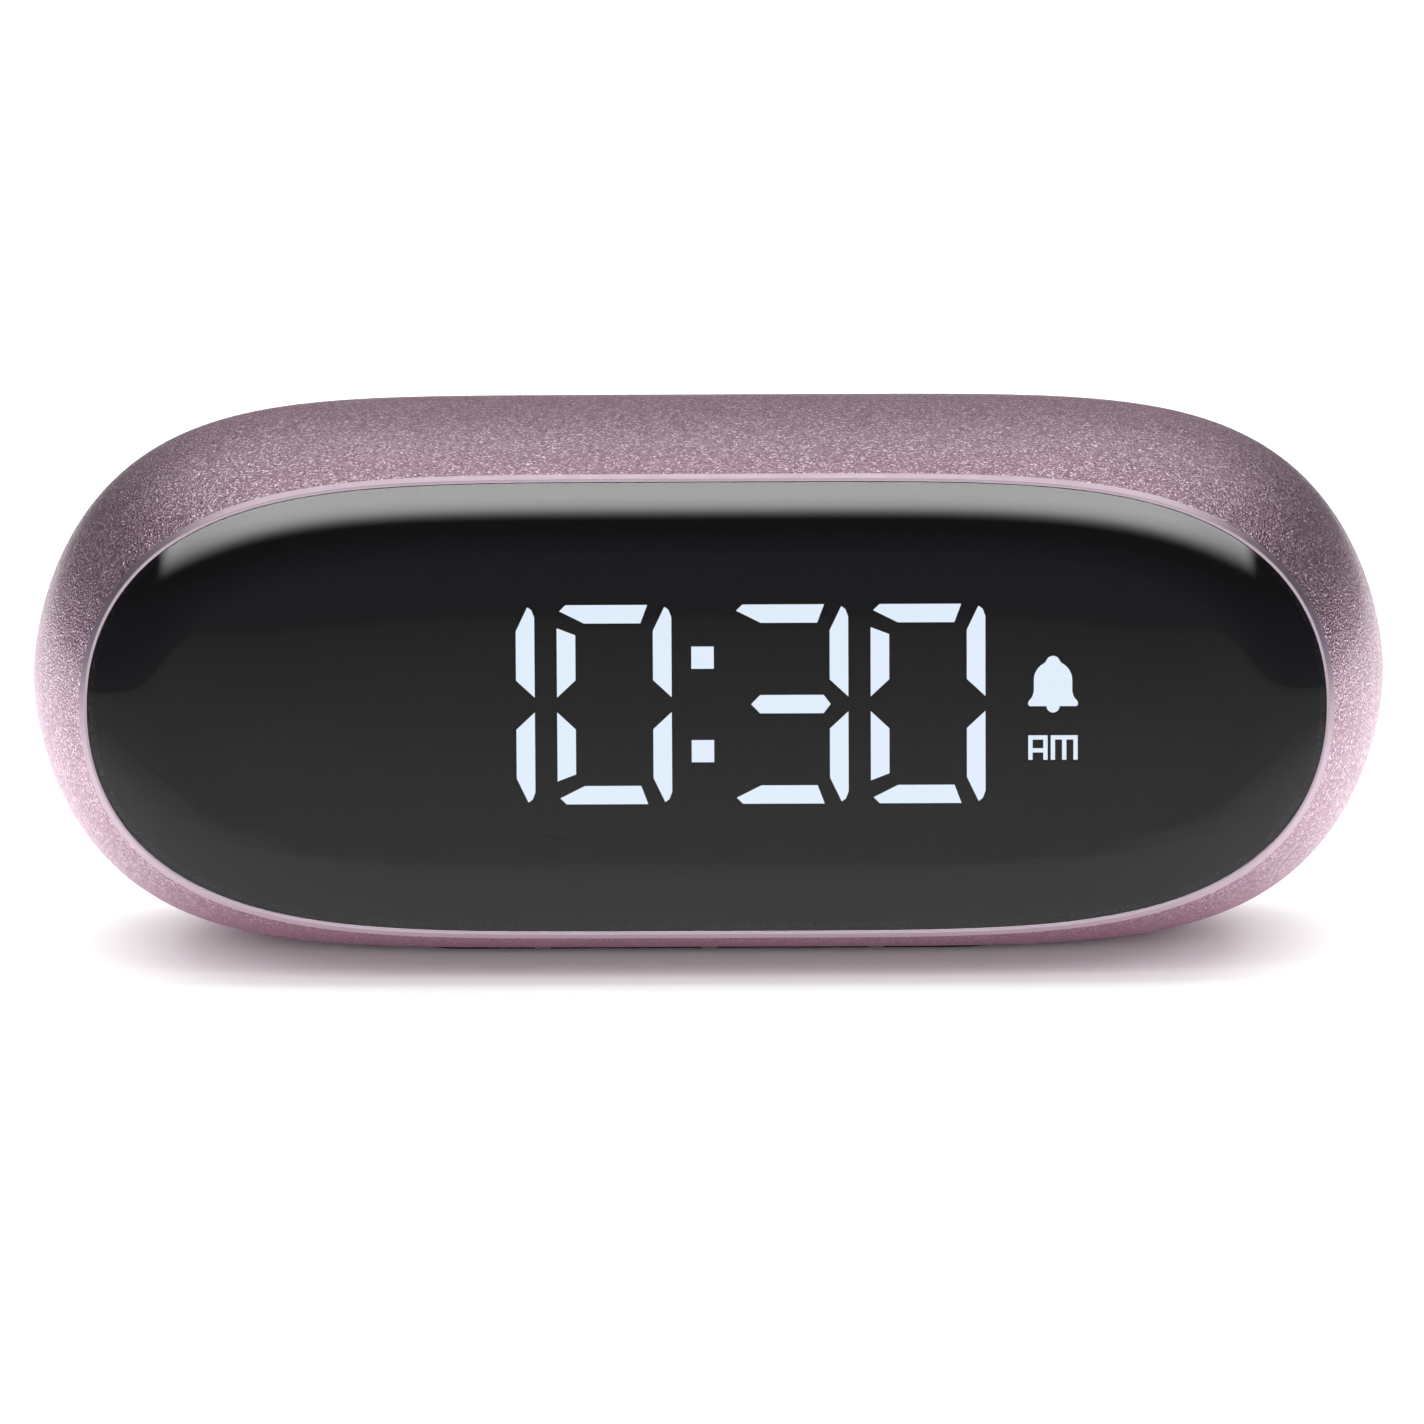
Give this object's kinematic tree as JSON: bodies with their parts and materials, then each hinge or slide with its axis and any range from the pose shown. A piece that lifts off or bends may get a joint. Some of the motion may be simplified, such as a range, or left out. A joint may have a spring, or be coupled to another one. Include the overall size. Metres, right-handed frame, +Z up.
{
  "type": "digital alarm clock",
  "caption": "Small barrel-shaped digital alarm clock: domed smoked window over a lit segment display, rear keys, an alarm slide switch, a buzzer and a charging socket.",
  "frame": {"origin": "on the table, under the middle of the clock", "axes": "+X to the right seen from the front, +Y to the back, +Z up"},
  "size_m": [0.089, 0.038, 0.0359],
  "materials": {
    "shell_finish": "satin",
    "smoked_acrylic": "polished",
    "mask_ink": "gloss",
    "foam_seal": "matte",
    "pad_silicone": "matte",
    "cover_plastic": "matte",
    "key_plastic": "satin",
    "knob_plastic": "satin",
    "plunger_plastic": "satin",
    "lit_insert": "satin",
    "unlit_insert": "satin",
    "display_black": "matte",
    "led_white": "satin",
    "board_green": "satin",
    "chip_black": "matte",
    "screw_steel": "satin",
    "black_screw": "satin",
    "nickel_steel": "gloss",
    "ceramic_parts": "matte",
    "frame_plastic": "matte",
    "cell_foil": "satin",
    "tape_foam": "matte",
    "lead_red": "satin",
    "lead_black": "satin",
    "connector_cream": "satin",
    "ribbon_film": "satin",
    "copper_sheet": "satin",
    "spring_metal": "satin",
    "buzzer_black": "satin",
    "mesh_black": "matte",
    "clear_plastic": "gloss"
  },
  "bodies": {
    "clock": {"shell": "shell_finish", "window": "smoked_acrylic", "window_mask": "mask_ink", "window_gasket": "foam_seal", "base_pad": "pad_silicone", "rear_cover": "cover_plastic", "rear_cover_screws": "black_screw", "alarm_switch_case": "nickel_steel", "display_housing": "display_black", "segments_lit": "lit_insert", "segments_unlit": "unlit_insert", "colon_dots": "lit_insert", "bell_icon": "lit_insert", "am_icon": "lit_insert", "segment_leds": "led_white", "icon_leds": "led_white", "main_board": "board_green", "main_board_screws": "screw_steel", "processor": "chip_black", "crystal_can": "nickel_steel", "small_parts": "ceramic_parts", "chassis": "frame_plastic", "battery_cell": "cell_foil", "battery_tape": "tape_foam", "lead_positive": "lead_red", "lead_negative": "lead_black", "lead_plug": "connector_cream", "lead_header": "connector_cream", "ribbon_cable": "ribbon_film", "ribbon_socket_main": "connector_cream", "ribbon_socket_key": "connector_cream", "touch_electrode": "copper_sheet", "touch_spring": "spring_metal", "key_board": "board_green", "key_board_screws": "screw_steel", "key_switch_cases": "chip_black", "reset_switch": "chip_black", "usb_shell": "nickel_steel", "usb_tongue": "chip_black", "charger_chip": "chip_black", "buzzer": "buzzer_black", "buzzer_gasket": "foam_seal", "grille_mesh": "mesh_black", "charge_led": "led_white", "light_pipe": "clear_plastic"},
    "hour_key": {"key_hour": "key_plastic", "plunger_hour": "plunger_plastic"},
    "minute_key": {"key_minute": "key_plastic", "plunger_minute": "plunger_plastic"},
    "set_key": {"key_set": "key_plastic", "plunger_set": "plunger_plastic"},
    "alarm_key": {"key_alarm": "key_plastic", "plunger_alarm": "plunger_plastic"},
    "alarm_slider": {"alarm_switch_knob": "knob_plastic"}
  },
  "joints": [
    {"name": "hour_press", "type": "slide", "parent": "clock", "child": "hour_key", "axis": [0, -1, 0], "range_m": [0, 0.0004], "stiffness_N_per_m": 800, "springref_m": -0.0005},
    {"name": "minute_press", "type": "slide", "parent": "clock", "child": "minute_key", "axis": [0, -1, 0], "range_m": [0, 0.0004], "stiffness_N_per_m": 800, "springref_m": -0.0005},
    {"name": "set_press", "type": "slide", "parent": "clock", "child": "set_key", "axis": [0, -1, 0], "range_m": [0, 0.0004], "stiffness_N_per_m": 800, "springref_m": -0.0005},
    {"name": "alarm_press", "type": "slide", "parent": "clock", "child": "alarm_key", "axis": [0, -1, 0], "range_m": [0, 0.0004], "stiffness_N_per_m": 800, "springref_m": -0.0005},
    {"name": "alarm_slide", "type": "slide", "parent": "clock", "child": "alarm_slider", "axis": [1, 0, 0], "range_m": [0, 0.002]}
  ]
}
